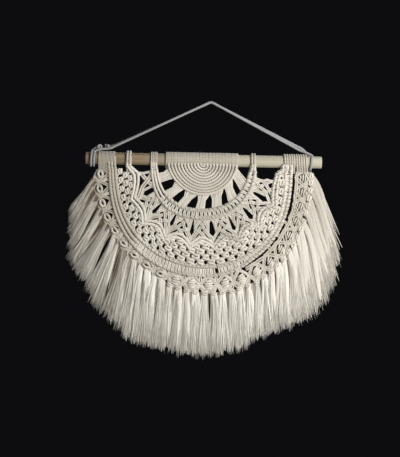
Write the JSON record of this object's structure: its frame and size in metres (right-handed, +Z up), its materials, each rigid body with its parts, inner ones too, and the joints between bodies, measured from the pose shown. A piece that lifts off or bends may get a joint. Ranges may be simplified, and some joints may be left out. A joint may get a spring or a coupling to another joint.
{
  "type": "macrame wall hanging on a wooden dowel",
  "caption": "Half-round knotted cotton wall hanging with a combed fringe, tied to a wooden dowel and hung from a doubled cord.",
  "frame": {"origin": "the hanging point, where the hanger cord bends over its nail", "axes": "+X to the right along the hanging's width, +Y into the wall, +Z up; the front faces -Y"},
  "size_m": [0.4707, 0.0291, 0.4421],
  "materials": {
    "wood": "sanded bare softwood, pale straw with tan grain",
    "cotton_cord": "matte single-twist cotton cord, natural cream",
    "combed_cotton": "combed-out cotton fibres, natural cream",
    "white_cord": "matte cotton cord, greyish white"
  },
  "bodies": {
    "root": {"dowel": "wood", "panel": "cotton_cord", "fringe": "combed_cotton", "wraps_border_left": "cotton_cord", "wraps_scallop_left": "cotton_cord", "wraps_band_left": "cotton_cord", "wraps_disc": "cotton_cord", "wraps_band_right": "cotton_cord", "wraps_border_right": "cotton_cord", "hanger_cord": "white_cord", "hanger_knot_end": "white_cord", "hanger_knot_side": "white_cord"}
  },
  "joints": []
}
